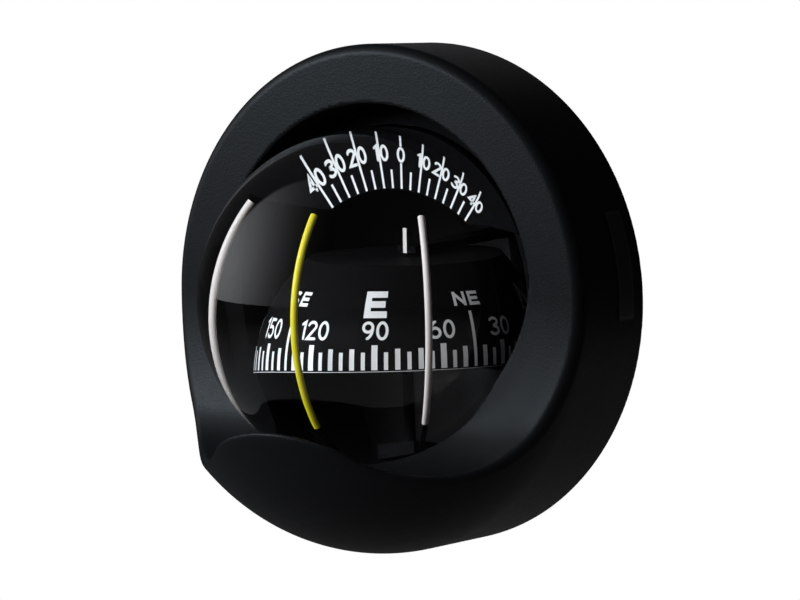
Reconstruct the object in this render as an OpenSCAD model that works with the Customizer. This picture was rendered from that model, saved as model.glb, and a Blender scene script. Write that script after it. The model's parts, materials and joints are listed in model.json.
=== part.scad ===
// Bulkhead compass: a liquid-filled dome compass with a heel scale, in a round black housing with a chin.
// X is to the right as the helmsman sees it, -Y points forward to the helmsman, +Z is up.
// The origin is the centre of the gasket's back face, which lies on the bulkhead.
// "Depth" is the distance forward of the bulkhead, so a depth of 30 is at y = -30.

/* [Housing] */
// Outer diameter of the housing
body_d = 135; // [132:1:150]
// Wall of the housing
housing_wall = 3; // [2:0.25:3.5]
// Depth of the housing's front face
face_depth = 29.9; // [28:0.1:34]
// Gap between the housing's back edge and the bulkhead
bulkhead_gap = 0.4; // [0.2:0.1:0.4]
// Radius on the outer edge of the front face
rim_round = 2.8; // [1:0.1:2.8]
// Diameter of the round window in the front face
window_d = 103.6; // [102:0.2:105]
// Wall of the tube behind the window
window_tube_wall = 2; // [1.5:0.1:2]
// Depth of the back end of the tube behind the window
window_tube_back = 18.5; // [17.5:0.1:20]

/* [Chin] */
// Depth at which the chin's egg shape is widest
chin_start = 27.3; // [26:0.1:28]
// Length of the chin's egg shape, forward of its widest place
chin_length = 53.6; // [52:0.1:58]
// Radius of the scoop that is cut across the chin
scoop_r = 19.5; // [18:0.1:21]
// Depth of the scoop's centre
scoop_depth = 53.5; // [52:0.1:56]
// Height of the scoop's centre
scoop_z = -22.3; // [-24:0.1:-22]
// Slope of the scoop's back wall, in degrees from level
scoop_back_slope = 71; // [68:1:74]
// Slope of the scoop's front lip, in degrees from level
scoop_lip_slope = 42; // [38:1:46]
// Radius of the window's lower edge
window_low_r = 51.6; // [51.2:0.1:52]
// Height of the centre of the window's lower edge
window_low_z = 10.6; // [10:0.1:11]
// Clearance between the chin and the dome
dome_clearance = 0.9; // [0.6:0.1:1.5]

/* [Label plate] */
// Length of the bare label plate, up and down
label_length = 28.5; // [20:0.5:34]
// Width of the bare label plate
label_width = 7; // [5:0.5:9]
// Thickness of the bare label plate
label_t = 0.4; // [0.3:0.1:0.6]
// Depth of the label plate's middle
label_depth = 9.2; // [8:0.1:16]
// Angle of the label plate's middle, above the right-hand side
label_angle = 8; // [0:1:20]

/* [Mounting] */
// Thickness of the gasket
gasket_t = 1.5; // [1:0.1:2.5]
// Thickness of the mounting base's plate
base_t = 4; // [3.5:0.1:5]
// Wall of the mounting base's rim
base_rim_wall = 4.5; // [4.4:0.1:4.5]
// Diameter of the circle of mounting screws
screw_pcd = 112; // [110:0.5:112]
// Diameter of the mounting screws
screw_d = 4; // [3:0.1:4]
// Number of mounting screws
screw_count = 4; // [3:1:6]
// Length of the mounting screws behind the bulkhead face
screw_reach = 16; // [12:1:25]

/* [Capsule] */
// Outer diameter of the bowl, which passes through the bulkhead
bowl_d = 97; // [96:0.2:98]
// Wall of the bowl
bowl_wall = 2.5; // [2:0.1:3]
// Reach of the bowl's inside behind the bulkhead
bowl_reach = 18.5; // [18.5:0.1:24]
// Thickness of the bowl's flange
bowl_flange_t = 4; // [3.6:0.1:5]
// Outer diameter of the dome
dome_d = 91; // [90:0.2:92]
// Wall of the dome
dome_wall = 2.5; // [2:0.1:2.8]
// Depth of the dome's centre
dome_depth = 30.1; // [29:0.1:31]
// Thickness of the dome's flange
dome_flange_t = 3; // [2.5:0.1:4]
// Thickness of the dome seal
seal_d = 2.1; // [1.6:0.1:2.2]
// Diameter of the clamp screws
clamp_screw_d = 2.5; // [2:0.1:2.6]
// Number of clamp screws
clamp_screw_count = 6; // [4:1:8]

/* [Lubber lines] */
// Radius of the lubber lines about the heel centre
lubber_r = 42; // [41:0.1:42]
// Thickness of the lubber lines
lubber_d = 1.8; // [1.4:0.1:2]
// Angle of the side lubber lines, from straight ahead
lubber_side_angle = 47; // [40:1:48]
// Angle of the lubber lines' tops, above the heel centre
lubber_top_angle = 38; // [30:1:40]
// Angle of the lubber lines' feet, below the heel centre
lubber_foot_angle = 36; // [30:1:40]

/* [Heel gear] */
// Height of the heel axis
heel_z = -4.4; // [-5:0.1:-4]
// Diameter of the heel shaft
heel_shaft_d = 4; // [3:0.1:4.5]
// Radial running clearance of the shafts
running_clearance = 0.05; // [0.02:0.01:0.1]
// Radius of the heel scale's inner edge
scale_inner_r = 28.9; // [28.9:0.1:30]
// Height of the heel scale's lower edges above the heel axis
scale_bottom = 21.4; // [21.4:0.1:24]
// Radius that the heel weight reaches
weight_r = 35.2; // [33:0.1:35.3]

/* [Card] */
// Depth of the card's pivot
card_depth = 17.4; // [17:0.1:18]
// Radius of the card's ball shape
card_r = 32.2; // [30:0.1:32.3]
// Height of the card's rim
card_rim_z = -15.6; // [-18:0.1:-14]
// Height of the card's flat top
card_top_z = 8.4; // [8:0.1:8.6]
// Height of the centre of the card's ball shape
card_ball_z = -16.3; // [-17:0.1:-16]
// Thickness of the card
card_t = 0.8; // [0.6:0.1:1.2]
// Height of the pivot's tip
pivot_z = -1.5; // [-3:0.1:0]

/* [Hidden] */
$fn = 128;

// Housing
body_r = body_d / 2;
housing_inner_r = body_r - housing_wall;
window_r = window_d / 2;
window_tube_r = window_r + window_tube_wall;
seat_gap = 0.3;
bead_depth = 0.6;
bead_t = 0.8;

// Mounting base and the pieces that it holds, from the bulkhead forward
base_r = housing_inner_r - seat_gap;
base_inner_r = base_r - 0.7 - base_rim_wall;
plate_front = gasket_t + base_t;
bowl_front = plate_front + bowl_flange_t;
dome_foot = bowl_front + dome_flange_t;
flange_r = base_inner_r - 0.4;
gasket_r = base_r - 2.2;
screw_r = screw_d / 2;
thread_r = screw_r - 0.15;
screw_head_r = screw_r * 2;

// Capsule
bowl_r = bowl_d / 2;
bowl_inner_r = bowl_r - bowl_wall;
bowl_back = bowl_reach + 3;
register_step = 0.6;
dome_r = dome_d / 2;
dome_inner_r = dome_r - dome_wall;
seal_r = (bowl_inner_r + flange_r) / 2;
seal_groove_w = seal_d + 0.8;
seal_play = 0.05;
clamp_front = window_tube_back - seat_gap;
clamp_screw_r = clamp_screw_d / 2;
clamp_head_r = clamp_screw_r * 1.6;
clamp_pitch_r = base_inner_r + base_rim_wall / 2;
clamp_head_t = 2;

// Lubber frame: a ring in the dome's skirt, clamped by its flange under the dome's foot
frame_r = dome_inner_r - seat_gap;
frame_inner_r = frame_r - 2.6;
frame_flange_r = bowl_inner_r + 1.3;
frame_flange_t = 1.1;
frame_front = 17.2;
scale_t = 0.8;
leg_w = 1.3;
front_leg_angle = 61;
side_leg_angle = 48;

// Heel gear
heel_shaft_r = heel_shaft_d / 2;
bush_r = heel_shaft_r + 2;
boss_r = bush_r + 3;
bush_length = 12;
boss_reach = bowl_reach + bush_length + 3.4;
cradle_back = bowl_reach - 0.8;
cradle_t = 1.5;
cradle_w = 12;
arm_w = 10;
arm_t = 3;
arm_drop = 29.6;
arm_bottom = heel_z - arm_drop;
weight_half_angle = 28;
weight_reach = 12;
weight_length = 30;
pointer_w = 1;
pointer_bottom = card_top_z + 0.7;
pointer_h = 5.3;
pointer_t = 0.5;
pointer_arm_t = 1.5;

// Card
jewel_r = 1.5;
jewel_h = 3;
post_r = 1.2;
post_tip_h = 3;
float_r = 18.4;
float_bottom = pivot_z - 2.5;
float_wall = 1.2;
magnet_w = 3;
magnet_length = 24;
magnet_offset = 9;

// Compensator
comp_w = 28;
comp_top = -(window_tube_r + 1);
comp_h = 6.6;
comp_front = 32;
spindle_r = 2.2;
athwart_depth = 22.6;
fore_aft_length = 7.4;
comp_magnet_r = 0.9;

// Fittings on the back of the bowl
lamp_z = 31;
lamp_r = 8.5;
lamp_ear_r = lamp_r + 1.9;
lamp_reach = bowl_back + 10;
lens_r = 4.5;
diaphragm_x = 27;
diaphragm_z = -14;
diaphragm_r = 12;
filler_x = -30;
filler_r = 3;

function arc(cx, cy, r, a0, a1, n) =
    [for (i = [0:n]) let (a = a0 + (a1 - a0) * i / n) [cx + r * cos(a), cy + r * sin(a)]];
function ellipse_arc(rx, ry, y0, n) =
    [for (i = [0:n]) let (a = 90 * i / n) [rx * cos(a), y0 + ry * sin(a)]];

// Turns a local frame of right, up and depth into the object's frame
module forward() rotate([90, 0, 0]) children();

// A ring between two depths
module ring(outer, inner, from, to)
    translate([0, 0, from]) difference() {
        cylinder(r = outer, h = to - from);
        translate([0, 0, -1]) cylinder(r = inner, h = to - from + 2);
    }

// A disc between two depths, with its centre at x, y
module disc(r, from, to, x = 0, y = 0)
    translate([x, y, from]) cylinder(r = r, h = to - from);

// Copies in a circle, the first one at the angle start
module around(count, r, start = 0)
    for (i = [0:count - 1]) rotate(start + 360 * i / count) translate([r, 0, 0]) children();

// The side view under the scoop: depth to the right, height up. Inset moves it into the chin.
module scoop_side(inset) {
    r = scoop_r + inset;
    back = [scoop_depth - r * sin(scoop_back_slope), scoop_z - r * cos(scoop_back_slope)];
    lip = [scoop_depth + r * sin(scoop_lip_slope), scoop_z - r * cos(scoop_lip_slope)];
    top = face_depth - inset;
    far = body_d;
    polygon(concat(
        [[top - 6, -far], [top - 6, back[1] + (back[0] - top) * tan(scoop_back_slope)]],
        [[top, back[1] + (back[0] - top) * tan(scoop_back_slope)]],
        arc(scoop_depth, scoop_z, r, 270 - scoop_back_slope, 270 + scoop_lip_slope, 24),
        [[far, lip[1] + (far - lip[0]) * tan(scoop_lip_slope)], [far, -far]]
    ));
}

// The chin's egg shape under the scoop, in local right, up and depth
module chin(inset)
    intersection() {
        translate([0, 0, chin_start]) rotate_extrude()
            polygon(concat([[0, -chin_start], [body_r - inset, -chin_start]],
                ellipse_arc(body_r - inset, chin_length - inset, 0, 32)));
        rotate([0, -90, 0]) linear_extrude(height = 2 * body_d, center = true) scoop_side(inset);
    }

// The upright plane through the heel centre, at an angle from straight ahead: outward, up
module upright_plane(side_angle)
    forward() translate([0, heel_z, card_depth]) rotate([0, side_angle, 0])
        rotate([0, -90, 0]) children();

// The window, the hollow and the outer shell of the housing
module housing()
    color("#1c1d20") forward() {
        difference() {
            union() {
                disc(body_r - rim_round, bulkhead_gap, face_depth);
                rotate_extrude() difference() {
                    translate([0, bulkhead_gap]) square([body_r, face_depth - bulkhead_gap]);
                    translate([body_r - rim_round, face_depth - rim_round]) difference() {
                        square(rim_round + 1);
                        circle(r = rim_round);
                    }
                }
                chin(0);
            }
            housing_hollow();
            disc(window_r, window_tube_back - 1, face_depth - housing_wall + 0.01);
            window_mouth();
            translate([0, 0, dome_depth]) sphere(r = dome_r + dome_clearance);
            label_seat();
        }
        // The bead snaps in behind the mounting base
        ring(housing_inner_r + 0.5, base_r - 0.6, bead_depth, bead_depth + bead_t);
    }

// The window's edge follows the tube above, and draws in towards the dome below
module window_mouth()
    intersection() {
        disc(window_r, face_depth - housing_wall, face_depth + 6);
        disc(window_low_r, face_depth - housing_wall - 1, face_depth + 7, 0, window_low_z);
    }

module housing_hollow() {
    difference() {
        disc(housing_inner_r, -1, face_depth - housing_wall);
        disc(window_tube_r, window_tube_back, body_d);
    }
    difference() {
        chin(housing_wall);
        disc(window_tube_r, -1, body_d);
        translate([0, 0, dome_depth]) sphere(r = dome_r + dome_clearance + housing_wall);
    }
}

// A shallow seat for the label plate in the right-hand side of the housing
module label_seat()
    label_shape(body_r - 0.6 * label_t, body_r + 1, 0.15);

module label_shape(from_r, to_r, play)
    intersection() {
        translate([0, 0, label_depth - label_width / 2 - play]) difference() {
            cylinder(r = to_r, h = label_width + 2 * play);
            translate([0, 0, -1]) cylinder(r = from_r, h = label_width + 2 * play + 2);
        }
        rotate(label_angle) translate([0, -label_length / 2 - play, -body_d])
            cube([body_d, label_length + 2 * play, 2 * body_d]);
    }

// The label plate is bare
module label_plate()
    color("#26272a") forward() label_shape(body_r - 0.55 * label_t, body_r + 0.45 * label_t, 0);

module bulkhead_gasket()
    color("#101010") forward() difference() {
        ring(gasket_r, bowl_r + 1.5, 0, gasket_t);
        around(screw_count, screw_pcd / 2, 45) disc(screw_r + 0.3, -1, gasket_t + 1);
    }

// The base is screwed to the bulkhead, and holds the capsule and the housing
module mounting_base()
    color("#1a1a1c") forward() difference() {
        union() {
            ring(base_r, bowl_r + register_step + 0.2, gasket_t, plate_front);
            ring(base_inner_r + base_rim_wall, base_inner_r, gasket_t, dome_foot);
        }
        around(screw_count, screw_pcd / 2, 45) {
            disc(screw_r + 0.1, 0, plate_front + 1);
            translate([0, 0, plate_front - screw_head_r + screw_r - 0.1])
                cylinder(r1 = screw_r, r2 = screw_head_r + 0.3, h = screw_head_r - screw_r + 0.3);
        }
        around(clamp_screw_count, clamp_pitch_r)
            disc(clamp_screw_r + running_clearance, gasket_t + 2, dome_foot + 1);
    }

// Countersunk screws through the base into the bulkhead
module mounting_screws()
    color("#c4c7ca") forward() around(screw_count, screw_pcd / 2, 45) {
        sink = screw_head_r - screw_r;
        difference() {
            union() {
                disc(thread_r, -screw_reach, 1);
                disc(screw_r, 0, plate_front - sink);
                translate([0, 0, plate_front - sink - 0.1])
                    cylinder(r1 = screw_r, r2 = screw_head_r, h = sink);
            }
            for (a = [0, 90]) rotate(a) translate([-screw_r, -0.4, plate_front - 1.3])
                cube([2 * screw_r, 0.8, 2]);
        }
    }

// The back half of the capsule, which holds the liquid
module bowl()
    color("#141416") forward() difference() {
        union() {
            disc(bowl_r, -bowl_back, 1);
            disc(bowl_r + register_step, 0, bowl_front - 1);
            disc(flange_r, plate_front, bowl_front);
            translate([0, heel_z, 0]) disc(boss_r, -boss_reach, -bowl_back + 1);
        }
        disc(bowl_inner_r, -bowl_reach, bowl_front + 1);
        disc(frame_flange_r + 0.2, bowl_front - frame_flange_t - seal_play, bowl_front + 1);
        ring(seal_r + seal_groove_w / 2, seal_r - seal_groove_w / 2,
            bowl_front - seal_d - seal_play, bowl_front + 1);
        translate([0, heel_z, 0]) disc(bush_r, -bowl_reach - bush_length - 2, -bowl_reach + 1);
        disc(lens_r, -bowl_back - 1, -bowl_reach + 1, 0, lamp_z);
        disc(diaphragm_r - 3, -bowl_back - 1, -bowl_reach + 1, diaphragm_x, diaphragm_z);
        disc(diaphragm_r + seal_play, -bowl_back - 1, -bowl_back + 1, diaphragm_x, diaphragm_z);
        disc(filler_r + seal_play, -bowl_back - 1, -bowl_reach + 1, filler_x, diaphragm_z);
    }

module dome_seal()
    color("#080808") forward() translate([0, 0, bowl_front - seal_d / 2 - seal_play / 2])
        rotate_extrude() translate([seal_r, 0]) circle(d = seal_d, $fn = 48);

// The clear dome, its round skirt and its flange
module dome()
    color("#dfe6ea", 0.35) forward() difference() {
        union() {
            translate([0, 0, dome_depth]) difference() {
                sphere(r = dome_r);
                translate([0, 0, -2 * dome_r]) cube(4 * dome_r, center = true);
            }
            disc(dome_r, bowl_front, dome_depth);
            disc(flange_r, bowl_front, dome_foot);
        }
        translate([0, 0, dome_depth]) sphere(r = dome_inner_r);
        disc(dome_inner_r, bowl_front - 1, dome_depth);
    }

module clamp_ring()
    color("#161617") forward() difference() {
        ring(base_inner_r + base_rim_wall, dome_r + 0.6, dome_foot, clamp_front);
        around(clamp_screw_count, clamp_pitch_r) {
            disc(clamp_screw_r + running_clearance, dome_foot - 1, clamp_front + 1);
            disc(clamp_head_r + running_clearance, clamp_front - clamp_head_t, clamp_front + 1);
        }
    }

module clamp_screws()
    color("#b9bcc0") forward() around(clamp_screw_count, clamp_pitch_r) difference() {
        union() {
            disc(clamp_screw_r, gasket_t + 3, clamp_front - 1);
            disc(clamp_head_r, clamp_front - clamp_head_t, clamp_front - 0.2);
        }
        translate([0, 0, clamp_front - 1.2]) cylinder(r = 0.9, h = 2, $fn = 6);
    }

// The ring that carries the heel scale, with legs that carry the lubber lines
module lubber_frame()
    color("#0e0e10") {
        forward() {
            ring(frame_r, frame_inner_r, bowl_front - frame_flange_t, frame_front);
            ring(frame_flange_r, frame_r - 0.5, bowl_front - frame_flange_t, bowl_front);
        }
        lubber_leg(0, front_leg_angle);
        lubber_leg(-lubber_side_angle, side_leg_angle);
        lubber_leg(lubber_side_angle, side_leg_angle);
    }

// A leg runs down from the lubber line's foot to an elbow, and then back to the ring
module lubber_leg(side_angle, turn_angle) {
    out = lubber_r * cos(turn_angle);
    half_turn = (turn_angle - lubber_foot_angle) / 2;
    strut = 2 * lubber_r * sin(half_turn);
    upright_plane(side_angle) rotate(-turn_angle) translate([lubber_r, 0, 0]) rotate(half_turn)
        translate([-leg_w / 2, -leg_w / 2, -leg_w / 2]) cube([leg_w, strut + leg_w / 2, leg_w]);
    forward() translate([out * sin(side_angle), heel_z - lubber_r * sin(turn_angle), frame_front - 1])
        translate([-leg_w / 2, -leg_w / 2, 0])
            cube([leg_w, leg_w, card_depth + out * cos(side_angle) - frame_front + 1]);
}

module lubber_line(side_angle)
    upright_plane(side_angle) rotate(-lubber_foot_angle)
        rotate_extrude(angle = lubber_foot_angle + lubber_top_angle)
            translate([lubber_r, 0]) circle(d = lubber_d, $fn = 32);

module lubber_line_front() color("#e2da3c") lubber_line(0);
module lubber_line_left() color("#efebe6") lubber_line(-lubber_side_angle);
module lubber_line_right() color("#efebe6") lubber_line(lubber_side_angle);

// The black plate that carries the heel scale
module heel_scale()
    color("#111113") forward() difference() {
        disc(frame_r, frame_front, frame_front + scale_t);
        disc(scale_inner_r, frame_front - 1, frame_front + scale_t + 1, 0, heel_z);
        translate([-body_r, -body_d, frame_front - 1])
            cube([body_d, body_d + heel_z + scale_bottom, scale_t + 2]);
    }

module heel_bush()
    color("#b8893c") forward() translate([0, heel_z, 0])
        ring(bush_r - 0.02, heel_shaft_r + running_clearance, -bowl_reach - bush_length, -bowl_reach - 0.4);

module heel_shaft()
    color("#c9ccd0") forward() translate([0, heel_z, 0]) difference() {
        disc(heel_shaft_r, -bowl_reach - bush_length - 1.8, -cradle_back + cradle_t);
        ring(heel_shaft_r + 1, heel_shaft_r - 0.5,
            -bowl_reach - bush_length - 1.1, -bowl_reach - bush_length - 0.5);
    }

// The clip keeps the shaft in its bush
module shaft_clip()
    color("#9a9da1") forward() translate([0, heel_z, 0]) difference() {
        ring(bush_r - 0.4, heel_shaft_r - 0.45,
            -bowl_reach - bush_length - 1.05, -bowl_reach - bush_length - 0.55);
        translate([-0.9, 0, -bowl_reach - bush_length - 2]) cube([1.8, 6, 4]);
    }

// The cradle hangs from the heel shaft behind the card, and reaches under it to the pivot post
module cradle()
    color("#202124") forward() difference() {
        union() {
            translate([0, 0, -cradle_back]) linear_extrude(height = cradle_t) {
                translate([0, heel_z]) circle(r = cradle_w / 2 + 2);
                translate([-cradle_w / 2, arm_bottom]) square([cradle_w, heel_z - arm_bottom]);
                translate([-arm_w / 4, heel_z]) square([arm_w / 2, pointer_bottom + pointer_arm_t - heel_z]);
            }
            translate([-arm_w / 2, arm_bottom, -cradle_back + 0.5])
                cube([arm_w, arm_t, cradle_back + card_depth + 4]);
            translate([-arm_w / 4, pointer_bottom, -cradle_back + 0.5])
                cube([arm_w / 2, pointer_arm_t, cradle_back - 0.5 + card_depth - pointer_t]);
        }
        translate([0, heel_z, 0]) disc(heel_shaft_r, -cradle_back - 1, -cradle_back + cradle_t + 1);
        translate([0, arm_bottom, card_depth]) rotate([-90, 0, 0])
            translate([0, 0, -1]) cylinder(r = post_r, h = arm_t + 2);
    }

// The weight keeps the cradle upright
module heel_weight()
    color("#8f7440") forward() intersection() {
        translate([0, heel_z, -weight_reach]) cylinder(r = weight_r, h = weight_length);
        translate([-body_r, -body_d, -weight_reach - 1])
            cube([body_d, body_d + arm_bottom, weight_length + 3]);
        translate([0, heel_z, -weight_reach - 1]) linear_extrude(height = weight_length + 3) polygon([
            [0, 0],
            2 * weight_r * [-sin(weight_half_angle), -cos(weight_half_angle)],
            2 * weight_r * [sin(weight_half_angle), -cos(weight_half_angle)]
        ]);
    }

// The white pointer of the heel scale
module heel_pointer()
    color("#f0f0ee") forward()
        translate([-pointer_w / 2, pointer_bottom, card_depth - pointer_t])
            cube([pointer_w, pointer_h, pointer_t]);

module pivot_post()
    color("#d0d3d6") translate([0, -card_depth, 0]) {
        translate([0, 0, arm_bottom]) cylinder(r = post_r, h = pivot_z - post_tip_h - arm_bottom);
        translate([0, 0, pivot_z - post_tip_h]) cylinder(r1 = post_r, r2 = 0.15, h = post_tip_h);
    }

// The sapphire cup that rides on the pivot's tip
module jewel_cup()
    color("#a52a3a") translate([0, -card_depth, pivot_z - 1]) difference() {
        cylinder(r = jewel_r, h = jewel_h);
        translate([0, 0, -0.01]) cylinder(r1 = 1.1, r2 = 0.25, h = 1 + running_clearance);
    }

module card_float()
    color("#d8d4c8") translate([0, -card_depth, 0]) difference() {
        translate([0, 0, float_bottom]) cylinder(r = float_r, h = card_top_z - card_t - float_bottom);
        translate([0, 0, float_bottom - 1]) cylinder(r = 2.4, h = pivot_z - 1 - float_bottom + 1);
        translate([0, 0, pivot_z - 2]) cylinder(r = jewel_r + 0.02, h = jewel_h + 1);
        // The float is hollow and sealed
        translate([0, 0, float_bottom + float_wall]) difference() {
            cylinder(r = float_r - float_wall, h = card_top_z - card_t - float_bottom - 2 * float_wall);
            translate([0, 0, -1]) cylinder(r = 4, h = 40);
        }
    }

// Two bar magnets under the float, along the card's north line
module card_magnets()
    color("#55585c") translate([0, -card_depth, float_bottom - magnet_w])
        for (side = [-1, 1]) translate([side * magnet_offset - magnet_w / 2, -magnet_length / 2, 0])
            cube([magnet_w, magnet_length, magnet_w]);

// The card is a zone of a ball with a flat top
module compass_card()
    color("#0d0d0f") translate([0, -card_depth, 0]) difference() {
        intersection() {
            translate([0, 0, card_ball_z]) sphere(r = card_r);
            translate([0, 0, card_rim_z]) cylinder(r = card_r + 1, h = card_top_z - card_rim_z);
        }
        intersection() {
            translate([0, 0, card_ball_z]) sphere(r = card_r - card_t);
            translate([0, 0, card_rim_z - 1])
                cylinder(r = card_r + 1, h = card_top_z - card_t - card_rim_z + 1);
        }
    }

// The compensator sits in the chin, and is reached when the housing is pulled off
module compensator_block()
    color("#2a2a2c") forward() difference() {
        translate([-comp_w / 2, comp_top - comp_h, clamp_front])
            cube([comp_w, comp_h, comp_front - clamp_front]);
        translate([0, comp_top - comp_h / 2, athwart_depth]) rotate([0, 90, 0])
            cylinder(r = spindle_r + running_clearance, h = comp_w + 2, center = true);
        disc(spindle_r + running_clearance, comp_front - fore_aft_length + 1, comp_front + 1,
            0, comp_top - comp_h / 2);
    }

// A slotted spindle with a cross hole for its magnet, along its own length
module spindle(length)
    difference() {
        cylinder(r = spindle_r, h = length);
        translate([-0.4, -spindle_r - 1, length - 0.9]) cube([0.8, 2 * spindle_r + 2, 2]);
        translate([0, 0, length / 2 - 0.2]) rotate([0, 90, 0])
            cylinder(r = comp_magnet_r, h = 3 * spindle_r, center = true);
    }

module spindle_magnet(length)
    translate([0, 0, length / 2 - 0.2]) rotate([0, 90, 0])
        cylinder(r = comp_magnet_r - 0.02, h = 2 * spindle_r - 0.6, center = true);

module athwart_place()
    forward() translate([-comp_w / 2 - 1, comp_top - comp_h / 2, athwart_depth])
        rotate([0, 90, 0]) children();
module fore_aft_place()
    forward() translate([0, comp_top - comp_h / 2, comp_front - fore_aft_length + 1.2]) children();

module athwart_spindle() color("#b89a4a") athwart_place() spindle(comp_w + 2);
module athwart_magnet() color("#55585c") athwart_place() spindle_magnet(comp_w + 2);
module fore_aft_spindle() color("#b89a4a") fore_aft_place() spindle(fore_aft_length);
module fore_aft_magnet() color("#55585c") fore_aft_place() spindle_magnet(fore_aft_length);

// A rubber disc that gives way as the liquid swells with heat
module expansion_diaphragm()
    color("#0a0a0a") forward() translate([diaphragm_x, diaphragm_z, 0]) difference() {
        disc(diaphragm_r, -bowl_back, -bowl_back + 1);
        translate([0, 0, -bowl_back]) rotate_extrude()
            translate([diaphragm_r - 5, 0]) circle(r = 0.6, $fn = 32);
    }

module diaphragm_ring()
    color("#1b1b1d") forward() translate([diaphragm_x, diaphragm_z, 0]) difference() {
        ring(diaphragm_r + 3.4, diaphragm_r - 3, -bowl_back - 2, -bowl_back);
        around(3, diaphragm_r + 1.6, 30) disc(1.05, -bowl_back - 3, -bowl_back + 1);
    }

module diaphragm_screws()
    color("#b9bcc0") forward() translate([diaphragm_x, diaphragm_z, 0])
        around(3, diaphragm_r + 1.6, 30) {
            disc(1, -bowl_back - 2, -bowl_back);
            disc(1.7, -bowl_back - 3, -bowl_back - 2);
        }

module filler_washer()
    color("#3a3a3a") forward() translate([filler_x, diaphragm_z, 0])
        ring(filler_r + 2, filler_r + 0.1, -bowl_back - 1, -bowl_back);

module filler_plug()
    color("#b89a4a") forward() translate([filler_x, diaphragm_z, 0]) difference() {
        union() {
            disc(filler_r, -bowl_back - 1, -bowl_reach - 0.5);
            disc(filler_r + 2.2, -bowl_back - 3.5, -bowl_back - 1);
        }
        translate([0, 0, -bowl_back - 4]) cylinder(r = 1.6, h = 2.4, $fn = 6);
    }

// The red window that the lamp shines through
module lamp_lens()
    color("#b0141c") forward() disc(lens_r - 0.02, -bowl_back, -bowl_reach, 0, lamp_z);

module lamp_cover()
    color("#18181a") forward() translate([0, lamp_z, 0]) difference() {
        union() {
            disc(lamp_r, -lamp_reach, -bowl_back);
            for (side = [-1, 1]) translate([side * lamp_ear_r, 0, -bowl_back - 2])
                cylinder(r = 2.6, h = 2);
        }
        disc(lamp_r - 1.5, -lamp_reach + 1.5, -bowl_back + 1);
        disc(2.6, -lamp_reach - 1, -lamp_reach + 2);
        for (side = [-1, 1]) disc(1.05, -bowl_back - 3, -bowl_back + 1, side * lamp_ear_r, 0);
    }

module lamp_screws()
    color("#b9bcc0") forward() for (side = [-1, 1]) translate([side * lamp_ear_r, lamp_z, 0]) {
        disc(1, -bowl_back - 2, -bowl_back);
        disc(1.7, -bowl_back - 3, -bowl_back - 2);
    }

module lamp_board()
    color("#1f5a33") forward() disc(lamp_r - 1.6, -bowl_back - 5, -bowl_back - 3.8, 0, lamp_z);

module lamp_led()
    color("#f2e9d0") forward() translate([0, lamp_z, 0]) {
        disc(1.5, -bowl_back - 3.8, -bowl_back - 1.5);
        translate([0, 0, -bowl_back - 1.5]) sphere(r = 1.5, $fn = 48);
    }

// The gland that the lamp's lead leaves by
module cable_gland()
    color("#0c0c0c") forward() translate([0, lamp_z, 0]) difference() {
        union() {
            disc(2.5, -lamp_reach - 1, -lamp_reach + 2.5);
            disc(4, -lamp_reach - 3, -lamp_reach);
        }
        disc(1.3, -lamp_reach - 4, -lamp_reach + 4);
    }

housing();
label_plate();
bulkhead_gasket();
mounting_base();
mounting_screws();
bowl();
dome_seal();
dome();
clamp_ring();
clamp_screws();
lubber_frame();
lubber_line_front();
lubber_line_left();
lubber_line_right();
heel_scale();
heel_bush();
heel_shaft();
shaft_clip();
cradle();
heel_weight();
heel_pointer();
pivot_post();
jewel_cup();
card_float();
card_magnets();
compass_card();
compensator_block();
athwart_spindle();
athwart_magnet();
fore_aft_spindle();
fore_aft_magnet();
expansion_diaphragm();
diaphragm_ring();
diaphragm_screws();
filler_plug();
filler_washer();
lamp_lens();
lamp_cover();
lamp_screws();
lamp_board();
lamp_led();
cable_gland();
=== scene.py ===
"""The looks of the bulkhead compass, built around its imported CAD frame.

Lengths below are in millimetres and mm() turns them into the frame's metres. +Y points into the
bulkhead, -Y to the helmsman, +X to the helmsman's right and +Z up. "Depth" is the distance forward
of the bulkhead, so that a depth of 30 is y = -30.
"""
import json
import math

import bpy
import numpy as np
from mathutils import Matrix, Vector


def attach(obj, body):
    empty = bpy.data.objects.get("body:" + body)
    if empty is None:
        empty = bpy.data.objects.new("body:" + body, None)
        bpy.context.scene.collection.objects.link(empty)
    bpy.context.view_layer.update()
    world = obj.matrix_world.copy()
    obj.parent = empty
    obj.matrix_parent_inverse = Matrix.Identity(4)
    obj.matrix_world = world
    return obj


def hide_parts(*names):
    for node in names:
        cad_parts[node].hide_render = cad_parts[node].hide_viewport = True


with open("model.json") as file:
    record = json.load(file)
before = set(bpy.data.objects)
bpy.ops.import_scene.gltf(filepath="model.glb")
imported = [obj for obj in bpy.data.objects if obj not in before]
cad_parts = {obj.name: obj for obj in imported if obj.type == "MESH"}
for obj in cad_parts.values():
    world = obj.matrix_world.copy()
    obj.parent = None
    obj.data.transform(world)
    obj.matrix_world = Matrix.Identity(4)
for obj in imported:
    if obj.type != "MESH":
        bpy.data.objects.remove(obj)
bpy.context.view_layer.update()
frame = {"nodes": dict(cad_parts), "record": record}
nodes = frame["nodes"]

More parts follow.
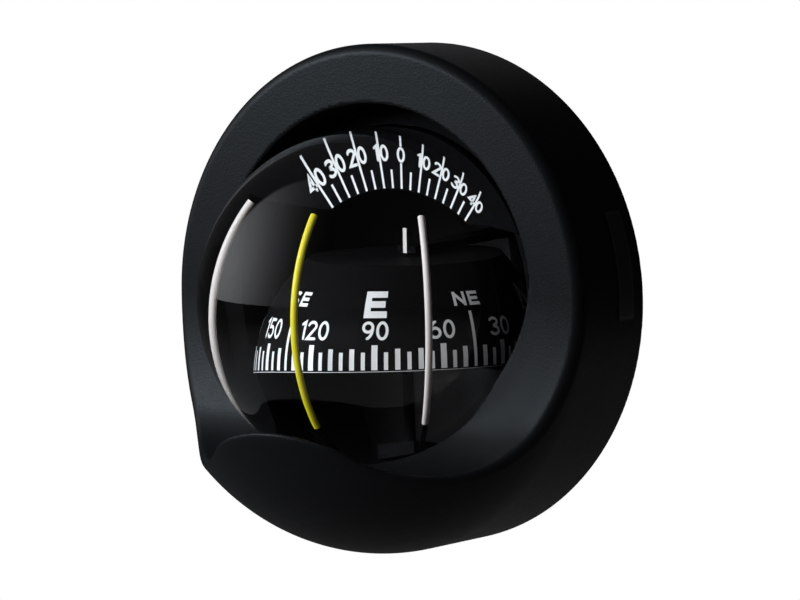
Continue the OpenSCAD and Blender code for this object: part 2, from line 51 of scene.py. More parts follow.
# ---------------------------------------------------------------- sizes, in millimetres
DOME_R = 45.5            # outer radius of the dome and of its skirt
DOME_DEPTH = 30.1        # depth of the dome's centre
FLANGE_R = 58.2          # the dome's flange
FLANGE_BACK, FLANGE_FRONT = 9.5, 12.5
BOWL_INSIDE_R = 46.0     # the bowl's inside, which the liquid fills
BOWL_INSIDE_BACK = -18.5
CARD_DEPTH = 17.4        # depth of the card's axis
CARD_R = 32.2            # the card is a zone of a ball
CARD_BALL_Z = -16.3
HEEL_Z = -4.4            # height of the heel axis
SCALE_FRONT = 18.0       # depth of the heel scale's face
SCALE_T = 0.8
SCALE_R = 42.7           # its outer edge is round about the dome's axis,
SCALE_INNER_R = 33.6     # its inner edge about a point
SCALE_INNER_DROP = 6.4   # that lies this far below the heel axis
SCALE_LOW_Z = 17.0
LABEL_R = 67.68          # the face of the label plate,
LABEL_DEPTH = 9.2        # its middle
LABEL_TURN = 8.0         # and how far up the side it sits, in degrees
PRINT_LIFT = 0.03        # how far the print stands on its surface
BODY_R = 67.5            # the housing: its round body,
HOUSING_WALL = 3.0
FACE_DEPTH = 29.9        # its front face,
BACK_EDGE = 0.4          # its back edge, just off the bulkhead,
RIM_ROUND, WINDOW_ROUND, BACK_ROUND = 2.8, 0.7, 1.3
FACE_BLEND = 5.0         # how softly the face flows into the scoop's back wall,
WINDOW_R = 51.8          # its window, with a tube behind it,
WINDOW_TUBE_R = 53.8
WINDOW_TUBE_BACK = 18.5
WINDOW_LOW_R, WINDOW_LOW_Z = 51.6, 10.6
DOME_CLEARANCE = 0.9
CHIN_START = 27.3        # and its chin, an egg shape with a scoop across it
CHIN_LENGTH = 53.6
SCOOP_R = 19.5
SCOOP_DEPTH, SCOOP_Z = 53.5, -22.3
SCOOP_BACK_SLOPE, SCOOP_LIP_SLOPE = 71, 42


def mm(value):
    return value / 1000


def spot(right, depth, up):
    """A point in the frame, from millimetres to the right, forward and up."""
    return Vector((mm(right), -mm(depth), mm(up)))


# ---------------------------------------------------------------- materials
def new_material(name):
    material = bpy.data.materials.new(name)
    material.use_nodes = True
    tree = material.node_tree
    return material, tree, tree.nodes["Principled BSDF"]


def noise(tree, scale, detail=2.0, stretch=(1, 1, 1)):
    """A noise in the object's own coordinates, so that it stays on the piece."""
    place = tree.nodes.new("ShaderNodeTexCoord")
    mapping = tree.nodes.new("ShaderNodeMapping")
    mapping.inputs["Scale"].default_value = stretch
    texture = tree.nodes.new("ShaderNodeTexNoise")
    texture.inputs["Scale"].default_value = scale
    texture.inputs["Detail"].default_value = detail
    tree.links.new(place.outputs["Object"], mapping.inputs["Vector"])
    tree.links.new(mapping.outputs["Vector"], texture.inputs["Vector"])
    return texture.outputs["Fac"]


def spread(tree, value, low, high):
    """Turns a noise into a number between low and high."""
    node = tree.nodes.new("ShaderNodeMapRange")
    for name, number in zip(("From Min", "From Max", "To Min", "To Max"), (0.3, 0.7, low, high)):
        node.inputs[name].default_value = number
    tree.links.new(value, node.inputs["Value"])
    return node.outputs["Result"]


def tint(tree, value, dark, light):
    """Turns a noise into a colour between dark and light."""
    node = tree.nodes.new("ShaderNodeValToRGB")
    for element, position, colour in zip(node.color_ramp.elements, (0.3, 0.7), (dark, light)):
        element.position = position
        element.color = (*colour, 1)
    tree.links.new(value, node.inputs["Fac"])
    return node.outputs["Color"]


def bump(tree, shader, height, distance, strength=1.0):
    node = tree.nodes.new("ShaderNodeBump")
    node.inputs["Distance"].default_value = mm(distance)
    node.inputs["Strength"].default_value = strength
    tree.links.new(height, node.inputs["Height"])
    tree.links.new(node.outputs["Normal"], shader.inputs["Normal"])


def ramp(tree, value, low, high, top=1.0):
    """Rises smoothly from 0 to top while the value goes from low to high."""
    node = tree.nodes.new("ShaderNodeMapRange")
    node.interpolation_type = "SMOOTHSTEP"
    node.inputs["From Min"].default_value = low
    node.inputs["From Max"].default_value = high
    node.inputs["To Max"].default_value = top
    tree.links.new(value, node.inputs["Value"])
    return node.outputs["Result"]


def combine(tree, operation, first, second):
    """One sum of two values, each of them a socket or a number."""
    node = tree.nodes.new("ShaderNodeMath")
    node.operation = operation
    for socket, value in zip(node.inputs, (first, second)):
        if isinstance(value, float):
            socket.default_value = value
        else:
            tree.links.new(value, socket)
    return node.outputs["Value"]


def shade(colour, factor):
    return tuple(c * factor for c in colour)


def plastic(name, colour, roughness=0.45, grain=0.5, depth=0.01, mottle=0.12, gloss=0.5):
    """Moulded plastic: a fine grain, a slow change of colour and a little wear in its gloss."""
    material, tree, shader = new_material(name)
    shader.inputs["Specular IOR Level"].default_value = gloss
    cloud = noise(tree, 90, 3)
    tree.links.new(
        tint(tree, cloud, shade(colour, 1 - mottle), shade(colour, 1 + mottle)),
        shader.inputs["Base Color"],
    )
    tree.links.new(
        spread(tree, noise(tree, 400, 3), roughness - 0.02, roughness + 0.02),
        shader.inputs["Roughness"],
    )
    bump(tree, shader, noise(tree, 1000 / grain, 4), depth)
    return material


def metal(name, colour, roughness=0.3, stretch=(1, 1, 1)):
    """Machined metal: fine turning marks along one direction, and patches of dulled surface."""
    material, tree, shader = new_material(name)
    shader.inputs["Metallic"].default_value = 1.0
    marks = noise(tree, 900, 3, stretch)
    tree.links.new(
        tint(tree, noise(tree, 150, 2), shade(colour, 0.85), colour), shader.inputs["Base Color"]
    )
    tree.links.new(spread(tree, marks, roughness - 0.1, roughness + 0.12), shader.inputs["Roughness"])
    bump(tree, shader, marks, 0.01, 0.5)
    return material


def clear_body(name):
    """The dome with its liquid: light bends at its outside, and lamps shine through it."""
    material, tree, shader = new_material(name)
    shader.inputs["Base Color"].default_value = (0.97, 0.98, 0.98, 1)
    shader.inputs["Transmission Weight"].default_value = 1.0
    shader.inputs["Roughness"].default_value = 0.0
    shader.inputs["IOR"].default_value = 1.2
    shader.inputs["Coat Weight"].default_value = 1.0
    shader.inputs["Coat Roughness"].default_value = 0.02
    shader.inputs["Coat IOR"].default_value = 1.45
    path = tree.nodes.new("ShaderNodeLightPath")
    through = tree.nodes.new("ShaderNodeBsdfTransparent")
    either = combine(tree, "MAXIMUM", path.outputs["Is Shadow Ray"], path.outputs["Is Diffuse Ray"])
    mix = tree.nodes.new("ShaderNodeMixShader")
    tree.links.new(either, mix.inputs["Fac"])
    tree.links.new(shader.outputs["BSDF"], mix.inputs[1])
    tree.links.new(through.outputs["BSDF"], mix.inputs[2])
    tree.links.new(mix.outputs["Shader"], tree.nodes["Material Output"].inputs["Surface"])
    return material


def glass(name, colour, roughness=0.05):
    material, tree, shader = new_material(name)
    shader.inputs["Base Color"].default_value = (*colour, 1)
    shader.inputs["Transmission Weight"].default_value = 0.8
    tree.links.new(
        spread(tree, noise(tree, 400, 2), roughness, roughness + 0.06), shader.inputs["Roughness"]
    )
    return material


WET_GLOSS = 0.03         # in the liquid a surface has almost no gloss of its own
MATERIALS = {
    "black_plastic": plastic("black_plastic", (0.0042, 0.0045, 0.0052), 0.42, 0.55, 0.05, 0.08, 0.15),
    "label_black": plastic("label_black", (0.008, 0.008, 0.009), 0.36, 1.5, 0.004),
    "black_rubber": plastic("black_rubber", (0.012, 0.012, 0.012), 0.7, 1.2, 0.03),
    "steel": metal("steel", (0.62, 0.63, 0.65), 0.28, (1, 1, 8)),
    "capsule_plastic": plastic("capsule_plastic", (0.008, 0.008, 0.009), 0.45, 0.9, 0.02),
    "frame_plastic": plastic("frame_plastic", (0.002, 0.002, 0.0022), 0.62, 0.8, 0.01, 0.12, WET_GLOSS),
    "yellow_line": plastic("yellow_line", (0.76, 0.67, 0.025), 0.4, 0.6, 0.005, 0.04),
    "white_line": plastic("white_line", (0.76, 0.7, 0.68), 0.4, 0.6, 0.005, 0.03),
    "scale_black": plastic("scale_black", (0.002, 0.002, 0.0022), 0.6, 0.8, 0.005, 0.12, WET_GLOSS),
    "bronze": metal("bronze", (0.6, 0.42, 0.2), 0.45),
    "brass": metal("brass", (0.7, 0.55, 0.25), 0.3),
    "ruby": glass("ruby", (0.5, 0.05, 0.1)),
    "float_plastic": plastic("float_plastic", (0.75, 0.73, 0.68), 0.5, 0.8, 0.02, 0.05),
    "magnet": metal("magnet", (0.25, 0.25, 0.26), 0.4),
    "card_black": plastic("card_black", (0.002, 0.002, 0.0022), 0.62, 0.7, 0.006, 0.12, WET_GLOSS),
    "fibre": plastic("fibre", (0.3, 0.12, 0.08), 0.75, 0.5, 0.04),
    "red_lens": glass("red_lens", (0.6, 0.03, 0.04)),
    "circuit_board": plastic("circuit_board", (0.03, 0.2, 0.07), 0.35, 1.0, 0.01),
    "led_resin": plastic("led_resin", (0.85, 0.8, 0.6), 0.25, 1.0, 0.004, 0.04),
}
# Painted shade: these capsule pieces get a near-black plastic in place of their own finish, so that they
# read as the shade in the gap behind the window.
PAINTED_SHADE_BLACK = plastic("painted_shade_black", (0.002, 0.002, 0.0022), 0.6, 0.8, 0.006, 0.12, WET_GLOSS)
PAINTED_SHADE_NODES = {"cradle", "heel_weight", "pivot_post", "clamp_ring"}
PRINT_WHITE = plastic("print_white", (0.86, 0.87, 0.88), 0.5, 0.3, 0.002, 0.02)
PRINT_GREY = plastic("print_grey", (0.06, 0.06, 0.062), 0.5, 0.3, 0.002, 0.02)
DOME_CLEAR = clear_body("dome_clear")

for part in frame["record"]["subparts"]:
    if part["node"] in nodes and part["material_slot"] in MATERIALS:
        mesh = nodes[part["node"]].data
        mesh.materials.clear()
        finish = PAINTED_SHADE_BLACK if part["node"] in PAINTED_SHADE_NODES else MATERIALS[part["material_slot"]]
        mesh.materials.append(finish)


# ---------------------------------------------------------------- pieces
def add_piece(name, vertices, faces, material, body, smooth=True):
    mesh = bpy.data.meshes.new(name)
    mesh.from_pydata([tuple(v) for v in vertices], [], faces)
    mesh.validate()
    mesh.materials.append(material)
    for polygon in mesh.polygons:
        polygon.use_smooth = smooth
    piece = bpy.data.objects.new(name, mesh)
    bpy.context.scene.collection.objects.link(piece)
    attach(piece, body)
    return piece


def turned(name, profile, material, body, count=192):
    """A closed body turned about the Y axis, from (radius, depth) points that start and end on it."""
    inner = profile[1:-1]
    vertices = [spot(0, profile[0][1], 0)]
    for i in range(count):
        a = 2 * math.pi * i / count
        vertices += [spot(r * math.cos(a), d, r * math.sin(a)) for r, d in inner]
    vertices.append(spot(0, profile[-1][1], 0))
    last, n = len(vertices) - 1, len(inner)
    faces = []
    for i in range(count):
        here, there = 1 + i * n, 1 + (i + 1) % count * n
        faces.append((0, there, here))
        faces += [(here + k, there + k, there + k + 1, here + k + 1) for k in range(n - 1)]
        faces.append((here + n - 1, there + n - 1, last))
    return add_piece(name, vertices, faces, material, body)


def make_dome():
    """The dome with the liquid that fills it and the bowl, as one clear body."""
    overlap = 0.2        # it reaches into the bowl's wall, so that no air is left between them
    profile = [(0, BOWL_INSIDE_BACK - overlap), (BOWL_INSIDE_R + overlap, BOWL_INSIDE_BACK - overlap)]
    profile += [(BOWL_INSIDE_R + overlap, FLANGE_BACK), (FLANGE_R, FLANGE_BACK), (FLANGE_R, FLANGE_FRONT)]
    profile += [(DOME_R, FLANGE_FRONT), (DOME_R, DOME_DEPTH - 4)]
    steps = 72
    for i in range(steps + 1):
        a = math.pi / 2 * i / steps
        r = DOME_R * math.cos(a) if i < steps else 0
        profile.append((r, DOME_DEPTH + DOME_R * math.sin(a)))
    dome = turned("dome_filled", profile, DOME_CLEAR, "case")
    split = dome.modifiers.new("sharp_corners", "EDGE_SPLIT")
    split.split_angle = math.radians(40)
    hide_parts("dome")


def rounded(a, b, radius):
    """Where two shapes meet, as signed distances, with a round of the given radius on the edge."""
    corner = np.hypot(np.maximum(a + radius, 0), np.maximum(b + radius, 0))
    return np.minimum(np.maximum(a, b), -radius) + corner


def side_profile(depth, up):
    """Signed distance to the housing's side view: the face, the scoop's back wall, its bed and its lip."""
    back, lip = math.radians(SCOOP_BACK_SLOPE), math.radians(SCOOP_LIP_SLOPE)
    back_x, back_y = -math.sin(back), -math.cos(back)
    lip_x, lip_y = math.sin(lip), -math.cos(lip)
    d, u = depth - SCOOP_DEPTH, up - SCOOP_Z
    over_bed = (back_x * u - back_y * d >= 0) & (d * lip_y - u * lip_x >= 0)
    walls = np.maximum(back_x * d + back_y * u, lip_x * d + lip_y * u)
    scoop = np.where(over_bed, np.hypot(d, u), walls) - SCOOP_R
    in_front = FACE_DEPTH - depth
    near = np.maximum(FACE_BLEND - np.abs(in_front - scoop), 0)
    return -(np.maximum(in_front, scoop) + near * near / (4 * FACE_BLEND))


def housing_field(points):
    """Signed distance, roughly, to the housing: negative in its walls. Points are x, y, z in mm."""
    x, depth, up = points[..., 0], -points[..., 1], points[..., 2]
    r = np.hypot(x, up)
    forward = np.maximum(depth - CHIN_START, 0) * BODY_R / CHIN_LENGTH
    envelope = np.hypot(r, forward) - BODY_R
    shape = rounded(envelope, side_profile(depth, up), RIM_ROUND)
    dome = np.sqrt(r * r + (depth - DOME_DEPTH) ** 2) - DOME_R - DOME_CLEARANCE
    low_edge = np.hypot(x, up - WINDOW_LOW_Z) - WINDOW_LOW_R
    behind = FACE_DEPTH - HOUSING_WALL
    bore = np.maximum(r - WINDOW_R, depth - behind)
    mouth = np.maximum(np.maximum(r - WINDOW_R, low_edge), depth - FACE_DEPTH - 6)
    window = np.minimum(np.minimum(bore, mouth), dome)
    tube = np.maximum(r - WINDOW_TUBE_R, WINDOW_TUBE_BACK - depth)
    hollow = np.maximum(np.maximum(shape + HOUSING_WALL, -tube), -(dome + HOUSING_WALL))
    solid = rounded(rounded(shape, -window, WINDOW_ROUND), BACK_EDGE - depth, BACK_ROUND)
    return np.maximum(solid, -hollow)


def surface_net(field, low, high, step):
    """A mesh of quads on the surface where a field is zero, between two corners."""
    axes = [np.arange(a, b + step, step) for a, b in zip(low, high)]
    value = field(np.stack(np.meshgrid(*axes, indexing="ij"), -1))
    cells = [n - 1 for n in value.shape]
    total = np.zeros((*cells, 3))
    count = np.zeros(cells)
    quads = []
    for axis in range(3):
        start = np.delete(value, -1, axis)
        end = np.delete(value, 0, axis)
        edge = np.argwhere((start < 0) != (end < 0))
        from_value, to_value = start[tuple(edge.T)], end[tuple(edge.T)]
        cross = edge.astype(float)
        cross[:, axis] += from_value / (from_value - to_value)
        ring = []
        for back_1, back_2 in ((1, 1), (0, 1), (0, 0), (1, 0)):
            cell = edge.copy()
            cell[:, (axis + 1) % 3] -= back_1
            cell[:, (axis + 2) % 3] -= back_2
            np.add.at(total, tuple(cell.T), cross)
            np.add.at(count, tuple(cell.T), 1)
            ring.append(np.ravel_multi_index(tuple(cell.T), cells))
        quad = np.stack(ring, -1)
        leaving = from_value < 0
        quads += [quad[leaving], quad[~leaving][:, ::-1]]
    used = np.flatnonzero(count)
    points = np.array(low) + step * total.reshape(-1, 3)[used] / count.reshape(-1, 1)[used]
    number = np.full(count.size, -1)
    number[used] = np.arange(len(used))
    return points, number[np.concatenate(quads)]


def slope_of(field, points):
    """Which way a field rises at each point."""
    probe = 0.05
    steps = np.eye(3) * probe
    return np.stack([field(points + s) - field(points - s) for s in steps], -1) / (2 * probe)


def make_housing():
    """The housing as it is moulded: soft at the chin's lip, and flowing from the face into the scoop."""
    side, front, margin, grid = BODY_R + 2.0, 82.0, 2.0, 0.75
    points, quads = surface_net(housing_field, (-side, -front, -side), (side, margin, side), grid)
    rounds, longest_move, least_steep = 3, 0.4, 0.2
    for _ in range(rounds):
        slope = slope_of(housing_field, points)
        steep = np.maximum((slope * slope).sum(-1), least_steep)
        move = np.clip(housing_field(points) / steep, -longest_move, longest_move)
        points -= move[:, None] * slope
    normals = slope_of(housing_field, points)
    normals /= np.maximum(np.linalg.norm(normals, axis=-1), 1e-6)[:, None]
    vertices, finish = mm(points).tolist(), MATERIALS["black_plastic"]
    housing = add_piece("housing_moulded", vertices, quads.tolist(), finish, "case")
    housing.data.normals_split_custom_set_from_vertices(normals.tolist())
    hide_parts("housing")


# ---------------------------------------------------------------- print
# A glyph is a width and its strokes, in a box one unit high. A stroke is a list of points.
def oval(cx, cy, rx, ry, start=0, end=360, steps=28):
    n = max(4, round(steps * abs(end - start) / 360))
    angles = [math.radians(start + (end - start) * i / n) for i in range(n + 1)]
    return [(cx + rx * math.cos(a), cy + ry * math.sin(a)) for a in angles]


def digits(pen):
    """Rounded digits drawn with a pen of the given width."""
    h, w = pen / 2, 0.66
    x1, y1, cx = w - h, 1 - h, w / 2
    bowl = 0.5 - h - 0.02
    return {
        "0": (w, [oval(cx, 0.5, cx - h, 0.5 - h)]),
        "1": (0.36, [[(h, 0.8), (0.36 - h, y1), (0.36 - h, h)]]),
        "2": (w, [oval(cx, 0.72, cx - h, 0.28 - h, 165, -25) + [(h, h), (x1, h)]]),
        "3": (w, [oval(cx - 0.02, 0.74, cx - h, 0.26 - h, 150, -90),
                  oval(cx - 0.02, 0.28, cx - h + 0.02, 0.28 - h, 90, -150)]),
        "4": (w, [[(0.7 * w, h), (0.7 * w, y1), (h, 0.3), (w - 0.3 * h, 0.3)]]),
        "5": (w, [[(x1 - 0.02, y1), (h + 0.05, y1), (h + 0.02, 0.56)]
                  + oval(cx - 0.02, 0.33, cx - h + 0.02, 0.33 - h, 120, -145)]),
        "6": (w, [oval(cx, 0.32, cx - h, 0.32 - h),
                  oval(cx + 0.12, 0.32, cx - h + 0.12, 0.68 - h, 180, 105)]),
        "7": (w, [[(h, y1), (x1, y1), (0.3 * w, h)]]),
        "8": (w, [oval(cx, 0.75, cx - h - 0.03, 0.25 - h), oval(cx, 0.27, cx - h, 0.27 - h)]),
        "9": (w, [oval(cx, 0.68, cx - h, 0.32 - h), oval(cx - 0.12, 0.68, cx - h + 0.12, 0.68 - h, 0, -75)]),
    }


def letters(pen):
    """Square-cut capitals for the points of the compass."""
    h, w = pen / 2, 0.9
    x1, y1, s_middle = w - h, 1 - h, w / 2 - 0.05
    return {
        "N": (w, [[(h, 0), (h, 1)], [(x1, 0), (x1, 1)], [(h, 1 - h), (x1, h)]]),
        "E": (w - 0.04, [[(h, 0), (h, 1)], [(h, h), (x1, h)], [(h, 0.5), (x1 - 0.06, 0.5)],
                         [(h, y1), (x1, y1)]]),
        "S": (w - 0.1, [oval(s_middle, 0.74, s_middle - h, 0.26 - h, 25, 262)
                        + oval(s_middle, 0.27, s_middle - h, 0.27 - h, 85, -155)]),
        "W": (1.2, [[(h, 1), (0.36, 0), (0.6, 0.95), (0.84, 0), (1.2 - h, 1)]]),
    }


def resampled(points, step):
    """The same line with no stretch longer than step."""
    out = [points[0]]
    for a, b in zip(points, points[1:]):
        n = max(1, math.ceil(math.dist(a, b) / step))
        out += [(a[0] + (b[0] - a[0]) * i / n, a[1] + (b[1] - a[1]) * i / n) for i in range(1, n + 1)]
    return out


class Sheet:
    """Flat print that is gathered in millimetres on a sheet and then laid on a surface."""

    def __init__(self):
        self.points, self.faces, self.layer = [], [], 0

    def stroke(self, line, pen, round_ends=False, step=0.6):
        """A line drawn with a pen: mitred at its corners, cut square or rounded at its ends."""
        line = resampled([p for i, p in enumerate(line) if i == 0 or math.dist(p, line[i - 1]) > 1e-6], step)
        closed = math.dist(line[0], line[-1]) < 1e-6
        if closed:
            line = line[:-1]
        n, start = len(line), len(self.points)
        self.layer += 1
        for i, p in enumerate(line):
            before = line[i - 1] if i or closed else None
            after = line[(i + 1) % n] if i < n - 1 or closed else None
            da = Vector(p) - Vector(before) if before else Vector(after) - Vector(p)
            db = Vector(after) - Vector(p) if after else da
            da.normalize()
            db.normalize()
            along = (da + db).normalized()
            side = Vector((-along.y, along.x)) * pen / 2 / max(0.45, along.dot(da))
            self.points += [(*(Vector(p) + side), self.layer), (*(Vector(p) - side), self.layer)]
        pairs = n if closed else n - 1
        for i in range(pairs):
            a, b = start + 2 * i, start + 2 * ((i + 1) % n)
            self.faces.append((a, a + 1, b + 1, b))
        if round_ends and not closed:
            self.round_end(line[0], line[1], pen, start, start + 1)
            self.round_end(line[-1], line[-2], pen, start + 2 * n - 1, start + 2 * n - 2)

    def round_end(self, tip, inner, pen, first, last):
        """Half a disc on a stroke's end, from the corner first round to the corner last."""
        out = (Vector(tip) - Vector(inner)).normalized()
        side = Vector((out.y, -out.x))
        n, start = 6, len(self.points)
        for i in range(1, n):
            a = math.pi * i / n
            p = Vector(tip) + (side * -math.cos(a) + out * math.sin(a)) * pen / 2
            self.points.append((*p, self.layer))
        self.faces.append([first] + list(range(start, start + n - 1)) + [last])

    def word(self, text, font, x, y, height, pen, gap, turn=0, round_ends=True, squeeze=1.0):
        """A word centred on x, y and turned clockwise by turn degrees."""
        glyphs = font(pen / height)
        widths = [glyphs[c][0] * height * squeeze for c in text]
        left = -(sum(widths) + gap * (len(text) - 1)) / 2
        c, s = math.cos(math.radians(turn)), math.sin(math.radians(turn))
        for letter, width in zip(text, widths):
            for line in glyphs[letter][1]:
                flat = [(left + px * height * squeeze, (py - 0.5) * height) for px, py in line]
                self.stroke([(x + px * c + py * s, y - px * s + py * c) for px, py in flat], pen, round_ends)
            left += width + gap

    def lay(self, name, surface, body, ink=PRINT_WHITE):
        vertices = [surface(x, y, PRINT_LIFT + 0.0005 * layer) for x, y, layer in self.points]
        return add_piece(name, vertices, self.faces, ink, body)


def card_surface(x, y, lift):
    """x is the distance round the ball's middle from the front, y the height above it along the ball."""
    latitude = y / CARD_R
    azimuth = x / CARD_R
    r = (CARD_R + lift) * math.cos(latitude)
    up = CARD_BALL_Z + (CARD_R + lift) * math.sin(latitude)
    return spot(r * math.sin(azimuth), CARD_DEPTH + r * math.cos(azimuth), up)


def card_y(z):
    """Distance along the ball of a height on it."""
    return CARD_R * math.asin((z - CARD_BALL_Z) / CARD_R)


def make_card_print():
    """Degrees run to the left as the helmsman sees them. The card rests with 115.5 to the front."""
    front_heading = 115.5
    foot = card_y(-15.1)
    number_low, number_high = card_y(-8.1), card_y(-3.7)
    ticks = ((30, -9.2, 1.5), (10, -10.1, 1.25), (5, -10.9, 1.0))   # degrees apart, top and pen
    cardinals = {0: "N", 90: "E", 180: "S", 270: "W"}
    between = {45: "NE", 135: "SE", 225: "SW", 315: "NW"}
    card = Sheet()
    for heading in range(0, 360, 5):
        x = CARD_R * math.radians(front_heading - heading)
        if heading in between:
            card.stroke([(x, foot), (x, card_y(-2.0))], 0.85)
            wide = 1 / math.cos(card_y(0.8) / CARD_R)
            card.word(between[heading], letters, x, card_y(0.85), 3.7, 0.85, 0.7, 0, False, wide)
            continue
        top, pen = next((z, width) for apart, z, width in ticks if heading % apart == 0)
        card.stroke([(x, foot), (x, card_y(top))], pen)
        if heading % 30 == 0 and heading:
            middle, height = (number_low + number_high) / 2, number_high - number_low
            card.word(str(heading), digits, x, middle, height, 0.72, 0.5, 0, True, 1.02)
        if heading in cardinals:
            wide = 1.0 / math.cos(card_y(0.1) / CARD_R)
            card.word(cardinals[heading], letters, x, card_y(0.1), 6.9, 1.7, 0, 0, False, wide)
    # A thin white line round the whole card just below the ticks: a painted highlight along the card's lower
    # rim, drawn with the print.
    card.stroke([(CARD_R * math.radians(a), card_y(-15.5)) for a in range(-180, 181, 3)], 0.12)
    card.lay("card_print", card_surface, "card")


def make_scale_plate():
    """The heel scale's black plate: a crescent with a flat lower edge at both ends."""
    middle, steps = HEEL_Z - SCALE_INNER_DROP, 60
    inner_x = math.sqrt(SCALE_INNER_R ** 2 - (SCALE_LOW_Z - middle) ** 2)
    outer_x = math.sqrt(SCALE_R ** 2 - SCALE_LOW_Z ** 2)
    turn_in, turn_out = math.asin(inner_x / SCALE_INNER_R), math.asin(outer_x / SCALE_R)
    vertices = []
    for i in range(steps + 1):
        part = 2 * i / steps - 1
        a, b = part * turn_in, part * turn_out
        rim = [(SCALE_INNER_R * math.sin(a), middle + SCALE_INNER_R * math.cos(a)),
               (SCALE_R * math.sin(b), SCALE_R * math.cos(b))]
        vertices += [spot(x, SCALE_FRONT - back, z) for back in (0, SCALE_T) for x, z in rim]
    faces = []
    for i in range(steps):
        a, b = 4 * i, 4 * i + 4
        faces += [(a, b, b + 1, a + 1), (a + 2, a + 3, b + 3, b + 2),
                  (a + 1, b + 1, b + 3, a + 3), (a, a + 2, b + 2, b)]
    last = 4 * steps
    faces += [(0, 1, 3, 2), (last, last + 2, last + 3, last + 1)]
    finish = MATERIALS["scale_black"]
    plate = add_piece("heel_scale_plate", vertices, faces, finish, "case", False)
    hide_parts("heel_scale")


def scale_surface(x, y, lift):
    return spot(x, SCALE_FRONT + lift, y)


def make_scale_print():
    """Lines every 5 degrees about the heel axis, and digits on both sides of every tenth one."""
    outer, tick, pen, margin = 39.4, 3.95, 0.56, 0.15
    digit_r, digit_h, digit_pen, digit_gap = 34.75, 3.5, 0.62, -0.05
    scale = Sheet()

    def polar(r, a, side=0.0):
        a = math.radians(a)
        return (r * math.sin(a) + side * math.cos(a), HEEL_Z + r * math.cos(a) - side * math.sin(a))

    for a in range(-40, 41, 5):
        bend = math.radians(a)
        inner = math.sqrt(SCALE_INNER_R ** 2 - (SCALE_INNER_DROP * math.sin(bend)) ** 2)
        inner += margin - SCALE_INNER_DROP * math.cos(bend)
        if a % 10:
            scale.stroke([polar(inner, a), polar(inner + tick, a)], pen)
            continue
        if a == 0:
            scale.stroke([polar(inner, a), polar(digit_r - digit_h / 2 - 0.1, a)], pen)
            scale.stroke([polar(digit_r + digit_h / 2 + 0.1, a), polar(outer, a)], pen)
            scale.word("0", digits, *polar(digit_r, a), digit_h, digit_pen, 0, a)
            continue
        scale.stroke([polar(inner, a), polar(outer, a)], pen)
        tens = str(abs(a) // 10)
        for text, side in ((tens, -1), ("0", 1)):
            half = digits(digit_pen / digit_h)[text][0] * digit_h / 2
            at = polar(digit_r, a, side * (pen / 2 + digit_gap + half))
            scale.word(text, digits, *at, digit_h, digit_pen, 0, a)
    scale.lay("heel_scale_print", scale_surface, "case")


def label_surface(x, y, lift):
    """x runs up along the plate from its middle, y forward."""
    a = math.radians(LABEL_TURN) + x / LABEL_R
    return spot((LABEL_R + lift) * math.cos(a), LABEL_DEPTH + y, (LABEL_R + lift) * math.sin(a))


def make_label_border():
    """The plain thin line along the bare label's edge."""
    half_length, half_width, pen = 13.6, 2.95, 0.22
    border = Sheet()
    corners = [(-1, -1), (1, -1), (1, 1), (-1, 1), (-1, -1)]
    border.stroke([(half_length * x, half_width * y) for x, y in corners], pen)
    border.lay("label_border", label_surface, "case", PRINT_GREY)


# ---------------------------------------------------------------- stage, light and camera
def make_floor():
    """A floor under the compass, white to the camera and dark to other rays. It keeps the shadow."""
    size, level, near, far = 12.0, -0.2, 0.25, 0.6
    mesh = bpy.data.meshes.new("floor")
    corners = [(x * size, y * size, level) for x, y in ((-1, -1), (1, -1), (1, 1), (-1, 1))]
    mesh.from_pydata(corners, [], [(0, 1, 2, 3)])
    floor = bpy.data.objects.new("floor", mesh)
    bpy.context.scene.collection.objects.link(floor)
    material, tree, shader = new_material("floor_white")
    colour = tree.nodes.new("ShaderNodeMix")
    colour.data_type = "RGBA"
    colour.inputs["A"].default_value = (0.1, 0.1, 0.1, 1)
    colour.inputs["B"].default_value = (0.9, 0.9, 0.9, 1)
    tree.links.new(colour.outputs["Result"], shader.inputs["Base Color"])
    shader.inputs["Roughness"].default_value = 0.9
    shader.inputs["Specular IOR Level"].default_value = 0.1
    place = tree.nodes.new("ShaderNodeTexCoord")
    length = tree.nodes.new("ShaderNodeVectorMath")
    length.operation = "LENGTH"
    tree.links.new(place.outputs["Object"], length.inputs[0])
    fade = ramp(tree, length.outputs["Value"], near, far)
    to_camera = tree.nodes.new("ShaderNodeLightPath").outputs["Is Camera Ray"]
    white = tree.nodes.new("ShaderNodeEmission")
    mix = tree.nodes.new("ShaderNodeMixShader")
    tree.links.new(to_camera, colour.inputs["Factor"])
    tree.links.new(combine(tree, "MULTIPLY", fade, to_camera), mix.inputs["Fac"])
    tree.links.new(shader.outputs["BSDF"], mix.inputs[1])
    tree.links.new(white.outputs["Emission"], mix.inputs[2])
    tree.links.new(mix.outputs["Shader"], tree.nodes["Material Output"].inputs["Surface"])
    mesh.materials.append(material)


def toward(tree, direction, way):
    """How nearly a direction of the world points one way: 1 along it, 0 across it."""
    dot = tree.nodes.new("ShaderNodeVectorMath")
    dot.operation = "DOT_PRODUCT"
    dot.inputs[1].default_value = Vector(way).normalized()
    tree.links.new(direction, dot.inputs[0])
    return dot.outputs["Value"]


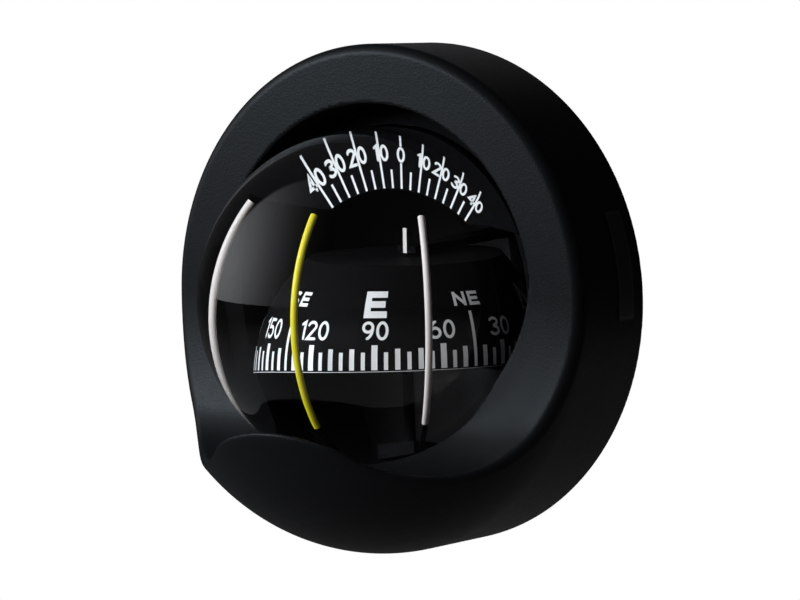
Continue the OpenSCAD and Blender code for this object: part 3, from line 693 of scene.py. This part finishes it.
def make_world():
    """White to the camera and through glass. All else sees a dark studio with a panel left and behind."""
    left, front, up, behind = (-0.88, -0.42, 0.22), (0, -1, 0), (0, 0, 1), (-0.55, 0.79, 0.27)
    world = bpy.data.worlds.new("studio")
    bpy.context.scene.world = world
    world.use_nodes = True
    tree = world.node_tree
    tree.nodes.clear()
    direction = tree.nodes.new("ShaderNodeTexCoord").outputs["Generated"]
    facing = combine(tree, "MAXIMUM", toward(tree, direction, left), 0.0)
    panel = combine(tree, "POWER", facing, 6.0)
    panel = combine(tree, "MULTIPLY", panel, ramp(tree, toward(tree, direction, front), 0.03, 0.1, 1.25))
    panel = combine(tree, "MULTIPLY", panel, ramp(tree, toward(tree, direction, up), -0.3, 0.05))
    back = ramp(tree, toward(tree, direction, behind), 0.92, 0.96, 0.13)
    level = combine(tree, "ADD", combine(tree, "ADD", panel, back), 0.02)
    studio = tree.nodes.new("ShaderNodeBackground")
    studio.inputs["Color"].default_value = (0.95, 0.97, 1.0, 1)
    tree.links.new(level, studio.inputs["Strength"])
    white = tree.nodes.new("ShaderNodeBackground")
    white.inputs["Color"].default_value = (1, 1, 1, 1)
    path = tree.nodes.new("ShaderNodeLightPath")
    plain = combine(tree, "MAXIMUM", path.outputs["Is Camera Ray"], path.outputs["Is Transmission Ray"])
    mix = tree.nodes.new("ShaderNodeMixShader")
    tree.links.new(plain, mix.inputs["Fac"])
    tree.links.new(studio.outputs["Background"], mix.inputs[1])
    tree.links.new(white.outputs["Background"], mix.inputs[2])
    out = tree.nodes.new("ShaderNodeOutputWorld")
    tree.links.new(mix.outputs["Shader"], out.inputs["Surface"])


def add_lamp(name, place, size, power, colour=(1, 1, 1), glare=True, flagged=()):
    """A soft box that faces the compass. It may give no glare, or leave some pieces unlit."""
    light = bpy.data.lights.new(name, "AREA")
    light.shape = "RECTANGLE"
    light.size, light.size_y = size
    light.energy = power
    light.color = colour
    lamp = bpy.data.objects.new(name, light)
    lamp.location = place
    lamp.rotation_euler = (-Vector(place)).to_track_quat("-Z", "Y").to_euler()
    lamp.visible_glossy = glare
    bpy.context.scene.collection.objects.link(lamp)
    if flagged:
        unlit = bpy.data.collections.new(name + "_flags")
        for piece in flagged:
            unlit.objects.link(bpy.data.objects[piece])
        lamp.light_linking.receiver_collection = unlit
        for member in unlit.collection_objects:
            member.light_linking.link_state = "EXCLUDE"


def make_camera():
    """Stands to the right of the compass and a little above it, with a long lens."""
    turn, rise, roll = math.radians(36.946), math.radians(4.137), math.radians(-1.189)
    distance = 0.91881
    ahead = Vector((-math.sin(turn) * math.cos(rise), math.cos(turn) * math.cos(rise), -math.sin(rise)))
    level = Vector((math.cos(turn), math.sin(turn), 0))
    upright = level.cross(ahead)
    right = math.cos(roll) * level + math.sin(roll) * upright
    up = math.cos(roll) * upright - math.sin(roll) * level
    camera = bpy.data.objects.new("camera", bpy.data.cameras.new("camera"))
    rows = [(right[i], up[i], -ahead[i], -distance * ahead[i]) for i in range(3)]
    camera.matrix_world = Matrix([*rows, (0, 0, 0, 1)])
    camera.data.lens = 152.37
    camera.data.sensor_width = 36
    camera.data.shift_x = -0.0471
    camera.data.shift_y = -0.0103
    bpy.context.scene.collection.objects.link(camera)
    bpy.context.scene.camera = camera


make_dome()
make_housing()
make_card_print()
make_scale_plate()
make_scale_print()
make_label_border()
make_floor()
make_world()
add_lamp("soft_box_left", (-0.34, -0.4, 0.2), (0.15, 0.15), 1.4, (0.75, 0.88, 1.0), True, ["dome_filled"])
add_lamp("soft_box_front", (-0.25, -0.85, 0.4), (0.4, 0.4), 7.0, (1, 1, 1), False)
add_lamp("soft_box_back", (0.35, 0.75, 0.4), (0.4, 0.4), 9.0, (1, 1, 1), True,
         ["dome_filled", "housing_moulded", "label_plate", "label_border"])
make_camera()
bpy.context.scene.view_settings.view_transform = "Standard"
